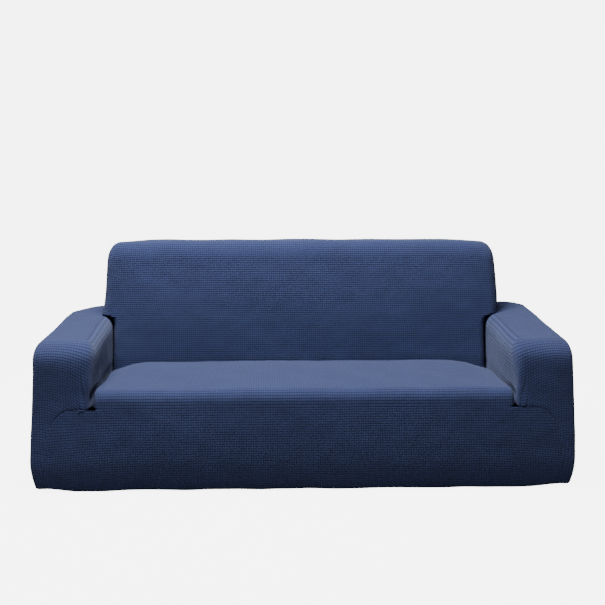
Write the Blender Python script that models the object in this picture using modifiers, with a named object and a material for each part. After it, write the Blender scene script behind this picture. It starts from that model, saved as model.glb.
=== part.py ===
"""Stretch slipcover for a two-seat sofa, in its fitted shape and hollow where the sofa goes.

Units are metres. X runs along the sofa, the front faces -Y and Z is up. The origin is
on the plane of the lowest hem, under the middle of the cover.
Five panels of one knitted cloth are sewn edge to edge: the seat with the front skirt,
the inside back with its top and ends, the outer back, and one wrap for each arm.
"""

from math import cos, pi, radians, sin, sqrt, tan

import bmesh
import bpy
from mathutils import Vector

# Overall sizes
WIDTH = 1.780
DEPTH = 0.790
HEIGHT = 0.748
CLOTH = 0.002  # thickness of the knitted cloth
SEWN_GAP = 0.0003  # clearance between two panels along a seam

# Arms
ARM_WIDTH = 0.195
ARM_HEIGHT = 0.481
EAVE_ROUND = 0.045  # how far below the arm's top its rounded edge starts
SIDE_ROUND = 0.026  # how far in from the inner and outer faces the top's edge runs
FRONT_ROUND = 0.045  # how far back from the arm front the top's edge runs
REAR_ROUND = 0.030  # how far forward from the rear it runs
REAR_CORNER = 0.150  # size, seen from above, of the rear corner of an arm
REAR_CORNER_FULLNESS = 1.5  # 2 is a round corner, less is cut flatter
OUTER_CORNER_FULLNESS = 5.0  # more than 2 is squarer: the outer front corner
ARM_LEAN = 0.008  # how far the outer face leans in at the top
LEAN_START_Z = 0.20
LEAN_START_X = 0.72

# Seat
SEAT_HEIGHT = 0.318
SEAT_CROWN = 0.016
SEAT_END_FALL = 0.010  # how far the rear of the seat falls towards the arms
SEAT_SIDE_ROUND = 0.020
SEAT_FRONT_ROUND = 0.030
SEAT_REAR_ROUND = 0.014
SEAT_REAR_CLEARANCE = 0.004
SEAT_COLUMNS = 10
WING_COLUMNS = 5
LEDGE_DEPTH = 0.030  # depth of the notch's floor
SEAT_SIDE_CLEARANCE = 0.005  # dark crevice beside the arms and the back
CREASE_Y = 0.105  # where the seat meets the back
TUCK_BOTTOM = 0.272  # the sewn bottom of the crevices
NOTCH_FLOOR = 0.268  # floor of the slit between seat front and arm front

# Backrest
BACK_HALF_WIDTH = 0.747
BACK_SIDE_ROUND = 0.034  # roundness of its edges: across,
BACK_FRONT_ROUND = 0.040  # from front to rear,
BACK_TOP_ROUND = 0.060  # and upwards
BACK_TAPER = 0.028  # share of the width lost up to the top
TAPER_START = 0.440
BACK_CROWN = 0.010
BACK_STEPS = 10  # columns across the flat of the back
LOW_BACK_ROUND = 0.012  # upright edges of the back between the arms
BACK_END_DROP = 0.012
BACK_REAR_FALL = 0.022  # how far the top falls towards the rear
FALL_START_Y = 0.160
DROP_START_Z = 0.550
BACK_RAKE = tan(radians(7.0))
RAKE_START = 0.330
LOW_BACK_TURN = 0.006
BACK_TUCK = 0.050  # how far the lower back tucks in beside each arm
BACK_SEAM_SIDE = 0.704  # upright seam of the outer back
BACK_SEAM_TOP = 0.680  # level seam of the outer back

# Hem, drawn in under the base by its elastic
HEM_RISE = 0.110
HEM_DRAW = 0.016
HEM_ROLL = 0.005
HEM_TURN = 0.020
HEM_CORNER_LIFT = 0.013
HEM_DRAW_START_X = 0.50
HEM_DRAW_START_Y = 0.20
CORNER_LIFT_X = (0.74, 0.87)
CORNER_LIFT_Y = (0.20, 0.38)

# Seam that runs from the notch out to the lower corner of the arm front
SEAM_START_X = WIDTH / 2 - ARM_WIDTH + SIDE_ROUND
SEAM_END_X = 0.858
SEAM_FLATNESS = 3.0
SEAM_DROP = 2.5
SEAM_STEPS = 9

# How finely the arms are cut: places along the straight sides, and steps round each bend
ARM_CUTS = (-0.30, -0.20, -0.10, 0.0, 0.105, 0.165)
SEAT_CUTS = (-0.28, -0.19, -0.10, -0.01, 0.06)
LOW_BACK_CUTS = (0.30, 0.36, 0.42)
BACK_CUTS = (0.55, 0.62)
OUTER_BACK_CUTS = (0.03, 0.06, 0.11, 0.20, 0.33)
BACK_MIDDLE_Y = 0.25
CORNER_STEPS = 4
REAR_STEPS = 5
RIM_STEPS = 4
WALL_SHARES = (0.0, 0.1, 0.22, 0.4, 0.7, 1.0)
WELD = 0.00002  # points of two patches closer than this are one

COLOUR = (0.028, 0.052, 0.150, 1.0)

FRONT = -DEPTH / 2
REAR = DEPTH / 2
ARM_INNER = WIDTH / 2 - ARM_WIDTH
ARM_OUTER = WIDTH / 2
SEAT_HALF = ARM_INNER - SEAT_SIDE_CLEARANCE
BACK_FLAT = SEAT_HALF - LOW_BACK_ROUND


def spread(start, end, count):
    """Evenly spaced values from start to end, both included."""
    return [start + (end - start) * i / count for i in range(count + 1)]


def ease(value, low, high):
    """A smooth step from 0 at low to 1 at high."""
    share = min(1.0, max(0.0, (value - low) / (high - low)))
    return share * share * (3.0 - 2.0 * share)


class RoundBox:
    """A box whose edges are rounded, with its own radius along each axis."""

    def __init__(self, low, high, low_radii, high_radii):
        self.low = low
        self.high = high
        self.low_radii = low_radii
        self.high_radii = high_radii

    def rounded(self, point):
        """The place on the rounded box of a point that is on the sharp one."""
        core = []
        reach = []
        radii = []
        for axis in range(3):
            from_low = point[axis] - self.low[axis] < self.high[axis] - point[axis]
            radius = (self.low_radii if from_low else self.high_radii)[axis]
            inside = min(
                max(point[axis], self.low[axis] + self.low_radii[axis]),
                self.high[axis] - self.high_radii[axis],
            )
            core.append(inside)
            radii.append(radius)
            reach.append((point[axis] - inside) / radius)
        length = sqrt(sum(part * part for part in reach))
        return Vector(core[i] + radii[i] * reach[i] / length for i in range(3))

    def face(self, axis, side, first, second):
        """A grid of points on one side, by the cuts along its two other axes."""
        level = (self.low if side < 0 else self.high)[axis]
        rows = []
        for a in first:
            row = []
            for b in second:
                point = [a, b]
                point.insert(axis, level)
                row.append(self.rounded(point))
            rows.append(row)
        return rows


def hem_draw(point):
    """Draws the lowest part of the cover in under the sofa and lifts its corners."""
    x, y, z = point
    outward_x = max(0.0, (abs(x) - HEM_DRAW_START_X) / (ARM_OUTER - HEM_DRAW_START_X))
    outward_y = max(0.0, (abs(y) - HEM_DRAW_START_Y) / (REAR - HEM_DRAW_START_Y))
    low = max(0.0, 1.0 - z / HEM_RISE)
    lean = ARM_LEAN * ease(z, LEAN_START_Z, ARM_HEIGHT) * ease(abs(x), LEAN_START_X, ARM_OUTER)
    side = 1.0 if x > 0 else -1.0
    end = 1.0 if y > 0 else -1.0
    corner = ease(abs(x), *CORNER_LIFT_X) * ease(abs(y), *CORNER_LIFT_Y)
    return Vector(
        (
            x - side * (outward_x * HEM_DRAW * low * low + lean),
            y - end * outward_y * HEM_DRAW * low * low,
            z + HEM_CORNER_LIFT * corner * low,
        )
    )


def hem_profile():
    """The hem's roll and turn, as pairs of inward and upward distance from the wall's foot."""
    roll = [
        (HEM_ROLL * (1 - cos(a)), HEM_ROLL * (1 - sin(a)))
        for a in (0.0, pi / 4, pi / 2)
    ]
    return [(HEM_TURN, 0.0)] + roll[::-1]


def seam_point(step):
    """A point of the seam across the arm front, from the notch to the hem."""
    turn = pi / 2 * step / SEAM_STEPS
    x = SEAM_START_X + (SEAM_END_X - SEAM_START_X) * sin(turn) ** (2 / SEAM_FLATNESS)
    z = HEM_ROLL + (NOTCH_FLOOR - HEM_ROLL) * max(0.0, cos(turn)) ** (2 / SEAM_DROP)
    return x, z


def sew(name, patches, up_face_normal, material, collection):
    """Joins patches of cloth along their shared edges and gives them thickness."""
    mesh = bpy.data.meshes.new(name)
    bm = bmesh.new()
    for patch in patches:
        grid = [[bm.verts.new(point) for point in row] for row in patch]
        for i in range(len(grid) - 1):
            for j in range(len(grid[0]) - 1):
                corners = (grid[i][j], grid[i + 1][j], grid[i + 1][j + 1], grid[i][j + 1])
                bm.faces.new(corners)
    bmesh.ops.remove_doubles(bm, verts=bm.verts, dist=WELD)
    bmesh.ops.dissolve_degenerate(bm, edges=bm.edges, dist=WELD)
    bmesh.ops.recalc_face_normals(bm, faces=bm.faces)
    guide = max(bm.faces, key=lambda f: f.calc_center_median().dot(up_face_normal))
    if guide.normal.dot(up_face_normal) < 0:
        bmesh.ops.reverse_faces(bm, faces=bm.faces)
    bm.to_mesh(mesh)
    bm.free()
    mesh.shade_smooth()
    panel = bpy.data.objects.new(name, mesh)
    collection.objects.link(panel)
    mesh.materials.append(material)
    thickness = panel.modifiers.new("cloth thickness", "SOLIDIFY")
    thickness.thickness = CLOTH
    thickness.offset = -1.0
    thickness.use_even_offset = True
    return panel


def bent(patch, shape):
    """A patch with every point moved by a function."""
    return [[shape(point) for point in row] for row in patch]


def mirrored(patch):
    """The same patch on the other side of the sofa."""
    return [[Vector((-p.x, p.y, p.z)) for p in row] for row in patch]


def seat_crown(point):
    """Fills out the seat, which falls towards its sides, front and rear."""
    x, y, z = point
    along = min(1.0, max(0.0, (y - FRONT) / (CREASE_Y - FRONT)))
    across = min(1.0, abs(x) / SEAT_HALF)
    height = max(0.0, (z - TUCK_BOTTOM) / (SEAT_HEIGHT - TUCK_BOTTOM))
    rise = SEAT_CROWN * sin(pi * along) * (1 - across**4) - SEAT_END_FALL * across**6 * along
    return Vector((x, y, z + height * rise))


def seat_and_front(material, collection):
    """Seat deck, front edge and skirt in one length of cloth, with its tucks and hem."""
    rear = CREASE_Y - SEAT_REAR_CLEARANCE
    seat = RoundBox(
        (-SEAT_HALF, FRONT, -1.0),
        (SEAT_HALF, rear, SEAT_HEIGHT),
        (SEAT_SIDE_ROUND, SEAT_FRONT_ROUND, SEAT_FRONT_ROUND),
        (SEAT_SIDE_ROUND, SEAT_REAR_ROUND, SEAT_FRONT_ROUND),
    )
    flat = SEAT_HALF - SEAT_SIDE_ROUND
    edge = [SEAT_HALF - 0.65 * SEAT_SIDE_ROUND, SEAT_HALF]
    main = spread(-flat, flat, SEAT_COLUMNS)
    across = [-v for v in edge[::-1]] + main + edge
    along = [FRONT, FRONT + 0.4 * SEAT_FRONT_ROUND, FRONT + SEAT_FRONT_ROUND, *SEAT_CUTS]
    along += [rear - SEAT_REAR_ROUND, rear - 0.5 * SEAT_REAR_ROUND, rear]
    brow_start = SEAT_HEIGHT - SEAT_FRONT_ROUND
    down = spread(TUCK_BOTTOM, brow_start, 2) + spread(brow_start, SEAT_HEIGHT, 2)[1:]
    deck = seat.face(2, 1, across, along)
    brow = seat.face(1, -1, across, down)
    rear_tuck = seat.face(1, 1, across, down)
    side_tucks = [seat.face(0, side, along, down) for side in (-1, 1)]
    for row in rear_tuck:
        row[0].y = CREASE_Y - SEWN_GAP
    for tuck, side in zip(side_tucks, (-1, 1)):
        for row in tuck[3:]:
            row[0].x = side * (ARM_INNER - SEWN_GAP)
        tuck[-1][0].y = CREASE_Y - SEWN_GAP
    rear_tuck[0][0].x = -(ARM_INNER - SEWN_GAP)
    rear_tuck[-1][0].x = ARM_INNER - SEWN_GAP
    patches = [bent(p, seat_crown) for p in [deck, brow, rear_tuck] + side_tucks]

    # The strip between the notch's floor and the brow joins them over the flat width
    patches.append([[Vector((x, FRONT, z)) for z in (NOTCH_FLOOR, TUCK_BOTTOM)] for x in main])

    # Skirt: its middle, and a wing on each side out to the seam across the arm front
    middle = []
    wing = []
    for step in range(SEAM_STEPS + 1):
        x_seam, z_seam = seam_point(step)
        middle.append([Vector((x, FRONT, z_seam)) for x in main])
        wing.append([Vector((x, FRONT, z_seam)) for x in spread(flat, x_seam, WING_COLUMNS)])
    foot_x = [v.x for v in wing[-1]]
    hem_rows = hem_profile()[::-1][1:]
    for inward, up in hem_rows:
        middle.append([Vector((x, FRONT + inward, up)) for x in main])
        wing.append([Vector((x, FRONT + inward, up)) for x in foot_x])
    floor_x = [v.x for v in wing[0]]
    floor = [[Vector((x, y, NOTCH_FLOOR)) for x in floor_x] for y in (FRONT, FRONT + LEDGE_DEPTH)]
    lower = [middle, wing, mirrored(wing), floor, mirrored(floor)]
    patches += [bent(p, hem_draw) for p in lower]
    return sew("seat_and_front", patches, Vector((0, 0, 1)), material, collection)


def round_the_corner(turn, fullness):
    """How far out a corner reaches both ways, as shares; a fullness of 2 gives a circle."""
    return sin(turn) ** (2 / fullness), max(0.0, cos(turn)) ** (2 / fullness)


def arm_path():
    """Plan outline of the right arm: each spot, its place on the flat top, and its foot.

    The place on the flat top is where the rounded edge above the spot ends.
    """
    core_x = (ARM_INNER + SIDE_ROUND, ARM_OUTER - SIDE_ROUND)
    core_y = FRONT + FRONT_ROUND
    path = [((ARM_INNER, y), (core_x[0], y), TUCK_BOTTOM) for y in ARM_CUTS[::-1]]
    for turn in spread(0, pi / 2, CORNER_STEPS):
        spot = (core_x[0] - SIDE_ROUND * cos(turn), core_y - FRONT_ROUND * sin(turn))
        drop = (TUCK_BOTTOM - NOTCH_FLOOR - SEWN_GAP) * turn / (pi / 2)
        path.append((spot, (core_x[0], core_y), TUCK_BOTTOM - drop))
    for step in range(1, SEAM_STEPS + 1):
        x, z = seam_point(step)
        foot = z + SEWN_GAP if step < SEAM_STEPS else HEM_ROLL
        path.append(((x + SEWN_GAP, FRONT), (x + SEWN_GAP, core_y), foot))
    for turn in spread(0, pi / 2, CORNER_STEPS):
        reach_x, reach_y = round_the_corner(turn, OUTER_CORNER_FULLNESS)
        spot = (core_x[1] + SIDE_ROUND * reach_x, core_y - FRONT_ROUND * reach_y)
        path.append((spot, (core_x[1], core_y), HEM_ROLL))
    path += [((ARM_OUTER, y), (core_x[1], y), HEM_ROLL) for y in ARM_CUTS]
    centre = (ARM_OUTER - REAR_CORNER, REAR - REAR_CORNER)
    for turn in spread(0, pi / 2, REAR_STEPS):
        reach_y, reach_x = round_the_corner(turn, REAR_CORNER_FULLNESS)
        spot = (centre[0] + REAR_CORNER * reach_x, centre[1] + REAR_CORNER * reach_y)
        core = (
            centre[0] + (REAR_CORNER - SIDE_ROUND) * reach_x,
            centre[1] + (REAR_CORNER - REAR_ROUND) * reach_y,
        )
        path.append((spot, core, HEM_ROLL))
    seam_x = BACK_SEAM_SIDE + SEWN_GAP
    path.append(((seam_x, REAR), (seam_x, REAR - REAR_ROUND), HEM_ROLL))
    return path


def arm_wall(path):
    """Upright part of the arm panel, from its foot over the rounded top edge."""
    rows = []
    eave = ARM_HEIGHT - EAVE_ROUND
    for spot, core, foot in path:
        row = [Vector((*spot, foot + (eave - foot) * share)) for share in WALL_SHARES]
        for turn in spread(0, pi / 2, RIM_STEPS)[1:]:
            place = Vector(spot).lerp(Vector(core), 1 - cos(turn))
            row.append(Vector((*place, eave + EAVE_ROUND * sin(turn))))
        rows.append(row)
    return rows


def arm_hem(path):
    """The hem of the arm panel, rolled and turned in under the base."""
    rows = []
    for spot, core, foot in path:
        if foot == HEM_ROLL:
            inward = (Vector(core) - Vector(spot)).normalized()
            rows.append([Vector((*(Vector(spot) + inward * i), up)) for i, up in hem_profile()])
    return rows


def arm_top(wall):
    """Flat top of the arm, between the inner, front and outer runs of its rounded edge."""
    rim = [row[-1] for row in wall]
    straight = len(ARM_CUTS)
    inner = rim[:straight][::-1]
    front = rim[straight + CORNER_STEPS : straight + CORNER_STEPS + SEAM_STEPS + 2]
    outer = rim[-(straight + REAR_STEPS + 2) : -1]
    share = [(p.x - front[0].x) / (front[-1].x - front[0].x) for p in front]
    rear_arc = outer[straight:-1]
    for i, spot in enumerate(rear_arc):
        x = inner[-1].x + (rim[-1].x - inner[-1].x) * (i + 1) / len(rear_arc)
        inner.append(Vector((x, spot.y, spot.z)))
        if len(inner) == straight + len(rear_arc):
            inner[-1] = rim[-1].copy()
    rows = [front]
    for left, right in zip(inner, outer[:-1]):
        rows.append([left.lerp(right, s) for s in share])
    rows.append([outer[-1].copy() for _ in share])
    return rows


def arm(name, side, material, collection):
    """One arm's wrap: inner face, top, front and outer face down to the hem."""
    path = arm_path()
    wall = arm_wall(path)
    patches = [bent(p, hem_draw) for p in (wall, arm_hem(path), arm_top(wall))]
    if side < 0:
        patches = [mirrored(p) for p in patches]
    return sew(name, patches, Vector((0, 0, 1)), material, collection)


def back_shape(point):
    """Rakes, tapers and fills out the backrest, and lets its top ends drop a little."""
    x, y, z = point
    high = max(0.0, (z - TAPER_START) / (HEIGHT - TAPER_START))
    forward = min(1.0, max(0.0, (REAR - y) / (REAR - CREASE_Y)))
    lean = BACK_RAKE * max(0.0, z - RAKE_START)
    tall = min(1.0, max(0.0, (z - RAKE_START) / (HEIGHT - RAKE_START)))
    crown = BACK_CROWN * sin(pi * tall) * max(0.0, 1 - (abs(x) / BACK_HALF_WIDTH) ** 4)
    droop = BACK_END_DROP * (abs(x) / BACK_HALF_WIDTH) ** 8 + BACK_REAR_FALL * ease(
        y, FALL_START_Y, REAR
    )
    droop *= ease(z, DROP_START_Z, HEIGHT)
    return Vector((x * (1 - BACK_TAPER * high), y + forward * (lean - crown), z - droop))


def inside_back(material, collection):
    """Inside back with the top and ends of the backrest, tucked in between the arms."""
    upper = RoundBox(
        (-BACK_HALF_WIDTH, CREASE_Y, -1.0),
        (BACK_HALF_WIDTH, REAR, HEIGHT),
        (BACK_SIDE_ROUND, BACK_FRONT_ROUND, BACK_TOP_ROUND),
        (BACK_SIDE_ROUND, BACK_FRONT_ROUND, BACK_TOP_ROUND),
    )
    low_radii = [LOW_BACK_ROUND] * 3
    lower = RoundBox((-SEAT_HALF, CREASE_Y, -1.0), (SEAT_HALF, 1.0, 2.0), low_radii, low_radii)
    main = spread(-BACK_FLAT, BACK_FLAT, BACK_STEPS)
    edge_start = BACK_HALF_WIDTH - BACK_SIDE_ROUND
    edge = [BACK_SEAM_SIDE, edge_start, edge_start + 0.6 * BACK_SIDE_ROUND, BACK_HALF_WIDTH]
    across = [-v for v in edge[::-1]] + main + edge
    base = ARM_HEIGHT + 2 * SEWN_GAP
    up = [base, *BACK_CUTS, BACK_SEAM_TOP, *spread(HEIGHT - BACK_TOP_ROUND, HEIGHT, 3)]
    deep = spread(CREASE_Y, CREASE_Y + BACK_FRONT_ROUND, 2) + [BACK_MIDDLE_Y]
    deep += spread(REAR - BACK_FRONT_ROUND, REAR, 2)
    face = upper.face(1, -1, across, up)
    top = upper.face(2, 1, across, deep)
    ends = [upper.face(0, side, deep, up) for side in (-1, 1)]
    rear_top = upper.face(1, 1, across, up[3:])
    rear_sides = [upper.face(1, 1, cut, up[:4]) for cut in (across[:4], across[-4:])]
    for patch in ends + rear_sides:
        for row in patch:
            row[0].z = base - arm_rim_drop(row[0].y)
    low_edge = [SEAT_HALF - LOW_BACK_TURN, SEAT_HALF]
    low_cut = [-v for v in low_edge[::-1]] + main + low_edge
    low_up = [TUCK_BOTTOM, *LOW_BACK_CUTS, base]
    low_deep = spread(CREASE_Y, CREASE_Y + LOW_BACK_ROUND, 2) + [CREASE_Y + BACK_TUCK]
    low_face = lower.face(1, -1, low_cut, low_up)
    low_ends = [lower.face(0, side, low_deep, low_up) for side in (-1, 1)]
    for patch, side in zip(low_ends, (-1, 1)):
        for spot in patch[-1]:
            spot.x = side * (ARM_INNER - SEWN_GAP)
    patches = [face, top, rear_top, low_face] + ends + rear_sides + low_ends
    patches = [bent(p, back_shape) for p in patches]
    return sew("inside_back", patches, Vector((0, 0, 1)), material, collection)


def arm_rim_drop(y):
    """How far an arm's rounded rear edge has fallen below its top at a depth y."""
    past = (y - CLOTH - SEWN_GAP - (REAR - REAR_ROUND)) / REAR_ROUND
    if past <= 0:
        return 0.0
    return EAVE_ROUND * (1 - sqrt(1 - past**2))


def outer_back(material, collection):
    """Rear panel, from the top of the backrest down to the hem."""
    side = BACK_SEAM_SIDE - SEWN_GAP
    across = [-side] + spread(-BACK_FLAT, BACK_FLAT, BACK_STEPS) + [side]
    up = [HEM_ROLL, *OUTER_BACK_CUTS, TAPER_START, *BACK_CUTS, BACK_SEAM_TOP - SEWN_GAP]
    wall = [[Vector((x, REAR, z)) for z in up] for x in across]
    hem = [[Vector((x, REAR - inward, z)) for inward, z in hem_profile()] for x in across]
    patches = [bent(bent(p, back_shape), hem_draw) for p in (wall, hem)]
    return sew("outer_back", patches, Vector((0, 1, 0)), material, collection)


def cloth_material():
    """Navy knitted polyester."""
    material = bpy.data.materials.new("navy_knit")
    material.use_nodes = True
    shader = material.node_tree.nodes["Principled BSDF"]
    shader.inputs["Base Color"].default_value = COLOUR
    shader.inputs["Roughness"].default_value = 0.9
    shader.inputs["Metallic"].default_value = 0.0
    return material


def main():
    """Clears the scene and builds the cover's five panels."""
    for item in list(bpy.data.objects):
        bpy.data.objects.remove(item, do_unlink=True)
    cover = bpy.data.collections.new("sofa_slipcover")
    bpy.context.scene.collection.children.link(cover)
    cloth = cloth_material()
    seat_and_front(cloth.copy(), cover)
    inside_back(cloth.copy(), cover)
    outer_back(cloth.copy(), cover)
    arm("arm_left", -1, cloth.copy(), cover)
    arm("arm_right", 1, cloth.copy(), cover)


main()
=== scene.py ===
"""Looks of a navy stretch-knit slipcover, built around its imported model.

Every panel of the cover is a thin sheet of one waffle knit, drawn tight over the sofa that it
was made for, with soft edges, tucked creases, sewn seams and an elastic hem. All lengths are in
metres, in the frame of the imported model: X along the sofa, the front faces -Y and Z is up.
"""

import logging
from dataclasses import dataclass, field
from enum import Enum
from math import pi, radians, tan
from typing import Any, Callable

import bmesh
import bpy
import numpy as np
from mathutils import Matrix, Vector


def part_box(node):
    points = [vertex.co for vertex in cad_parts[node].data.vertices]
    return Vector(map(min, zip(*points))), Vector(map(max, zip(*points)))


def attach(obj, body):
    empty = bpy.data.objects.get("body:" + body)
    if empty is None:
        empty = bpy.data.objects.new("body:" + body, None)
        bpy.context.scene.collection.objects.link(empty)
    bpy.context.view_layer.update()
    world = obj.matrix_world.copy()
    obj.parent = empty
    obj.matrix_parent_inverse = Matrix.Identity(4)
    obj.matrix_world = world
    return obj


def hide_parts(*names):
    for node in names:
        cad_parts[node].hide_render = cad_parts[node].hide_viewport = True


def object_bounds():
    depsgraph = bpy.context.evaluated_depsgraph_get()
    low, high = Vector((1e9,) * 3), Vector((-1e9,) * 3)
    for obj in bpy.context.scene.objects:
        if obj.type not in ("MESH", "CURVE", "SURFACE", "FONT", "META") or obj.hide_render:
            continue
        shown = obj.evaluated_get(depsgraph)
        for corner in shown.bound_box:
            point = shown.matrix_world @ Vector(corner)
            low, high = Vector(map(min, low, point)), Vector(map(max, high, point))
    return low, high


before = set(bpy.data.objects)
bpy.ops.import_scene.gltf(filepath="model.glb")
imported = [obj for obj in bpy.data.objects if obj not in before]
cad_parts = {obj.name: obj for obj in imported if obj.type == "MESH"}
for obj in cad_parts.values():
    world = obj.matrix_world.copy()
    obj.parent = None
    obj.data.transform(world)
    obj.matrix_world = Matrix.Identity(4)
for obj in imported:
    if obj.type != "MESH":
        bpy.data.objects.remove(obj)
CAD_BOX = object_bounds()

logging.basicConfig(level=logging.INFO, format="%(message)s")
LOG = logging.getLogger("slipcover")

Array = np.ndarray
Shape = Callable[[Array], Array]
Span = tuple[float, float]
Triple = tuple[float, float, float]
Value = bpy.types.NodeSocket | float


class Side(Enum):
    """The two arms of the sofa, as seen from the front."""

    LEFT = -1
    RIGHT = 1


# --------------------------------------------------------------------------- helpers


def ease(value: Array | float, low: float, high: float) -> Array:
    """A smooth step.

    Args:
        value: Where to read the step.
        low: Where it leaves 0.
        high: Where it reaches 1.

    Returns:
        Values from 0 to 1, of the shape of value.
    """
    share = np.clip((np.asarray(value, float) - low) / (high - low), 0.0, 1.0)
    return share * share * (3.0 - 2.0 * share)


def steps(start: float, end: float, spacing: float) -> Array:
    """Evenly spaced values.

    Args:
        start: First value.
        end: Last value.
        spacing: Largest step between them.

    Returns:
        The values, both ends included.
    """
    return np.linspace(start, end, max(2, int(np.ceil(abs(end - start) / spacing)) + 1))


def waves(x: Array, y: Array, seed: int, length: float, count: int = 7) -> Array:
    """Soft unevenness of cloth, as a sum of slanting waves.

    Args:
        x: First coordinate.
        y: Second coordinate.
        seed: Picks the directions and phases.
        length: Middle wavelength.
        count: How many waves are summed.

    Returns:
        Values of about -1 to 1.
    """
    rng = np.random.default_rng(seed)
    total = np.zeros(np.broadcast(x, y).shape)
    for _ in range(count):
        turn = rng.uniform(0, 2 * pi)
        wave = length * rng.uniform(0.6, 1.6)
        phase = rng.uniform(0, 2 * pi)
        total += np.sin(2 * pi * (x * np.cos(turn) + y * np.sin(turn)) / wave + phase)
    return total / count**0.5


def run_length(points: Array, axis: int = 0) -> Array:
    """Distance walked along rows or columns of points.

    Args:
        points: Grid or line of points.
        axis: Direction of the walk.

    Returns:
        The running distance, 0 at the start.
    """
    legs = np.linalg.norm(np.diff(points, axis=axis), axis=-1)
    start = np.zeros_like(np.take(legs, [0], axis=axis))
    return np.cumsum(np.concatenate([start, legs], axis=axis), axis=axis)


def joined(*parts: Array | float) -> Array:
    """Coordinates side by side along a new last axis, each spread to the shape of them all."""
    return np.stack(np.broadcast_arrays(*parts), axis=-1)


@dataclass
class Patch:
    """A grid of cloth points with the grain, the place of each point on the flat cloth."""

    points: Array
    grain: Array

    def mirrored(self) -> "Patch":
        """The same patch on the sofa's other side."""
        return Patch(self.points * (-1, 1, 1), self.grain * (-1, 1))

    def shaped(self, shape: Shape) -> "Patch":
        """The patch with its points moved by a function."""
        return Patch(shape(self.points), self.grain)


@dataclass(frozen=True)
class Run:
    """One direction across a face of a round-edged box: places on the sharp box and lengths."""

    sharp: Array
    length: Array

    @staticmethod
    def over(
        low: float, high: float, low_round: float, high_round: float, spacing: float
    ) -> "Run":
        """Cuts a face between two edges.

        Args:
            low: Where the face starts.
            high: Where it ends.
            low_round: Radius of its first edge, or 0 where it has none.
            high_round: Radius of its last edge, or 0.
            spacing: Largest step.

        Returns:
            The run, whose lengths follow the cloth over half of each round edge.
        """
        sharp = [steps(low + low_round, high - high_round, spacing)]
        length = [sharp[0].copy()]
        for edge, radius, side in ((low, low_round, -1), (high, high_round, 1)):
            if radius:
                turn = steps(0, pi / 4, spacing * 0.8 / radius)[1:]
                core = edge - side * radius
                parts = (core + side * radius * np.tan(turn), core + side * radius * turn)
                if side < 0:
                    sharp.insert(0, parts[0][::-1])
                    length.insert(0, parts[1][::-1])
                else:
                    sharp.append(parts[0])
                    length.append(parts[1])
        return Run(np.concatenate(sharp), np.concatenate(length))

    def with_cuts(self, *places: float) -> "Run":
        """Adds cuts on the flat part, where places and lengths are the same.

        Args:
            places: Where the cuts go.

        Returns:
            The run with the cuts.
        """
        return Run(np.sort(np.append(self.sharp, places)), np.sort(np.append(self.length, places)))


@dataclass(frozen=True)
class RoundBox:
    """A box with round edges, each axis with its own radius at either end."""

    low: Triple
    high: Triple
    low_radii: Triple
    high_radii: Triple

    def rounded(self, points: Array) -> Array:
        """Moves points of the sharp box onto the rounded one.

        Args:
            points: Points on the sharp box.

        Returns:
            The moved points.
        """
        low, high = np.array(self.low), np.array(self.high)
        low_core = low + self.low_radii
        high_core = high - self.high_radii
        core = np.clip(points, low_core, high_core)
        radii = np.where(points < (low + high) / 2, self.low_radii, self.high_radii)
        reach = (points - core) / radii
        size = np.linalg.norm(reach, axis=-1, keepdims=True)
        return core + radii * reach / np.maximum(size, 1e-9)

    def face(self, axis: int, side: int, first: Array, second: Array) -> Array:
        """A grid of points on one face.

        Args:
            axis: The axis that the face is square to.
            side: -1 for its low face, 1 for its high one.
            first: Cuts along the first other axis.
            second: Cuts along the second other axis.

        Returns:
            The grid of rounded points.
        """
        a, b = np.meshgrid(first, second, indexing="ij")
        level = np.full_like(a, (self.low if side < 0 else self.high)[axis])
        parts = [a, b]
        parts.insert(axis, level)
        return self.rounded(np.stack(parts, axis=-1))


# --------------------------------------------------------------------------- the cover's form


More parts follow.
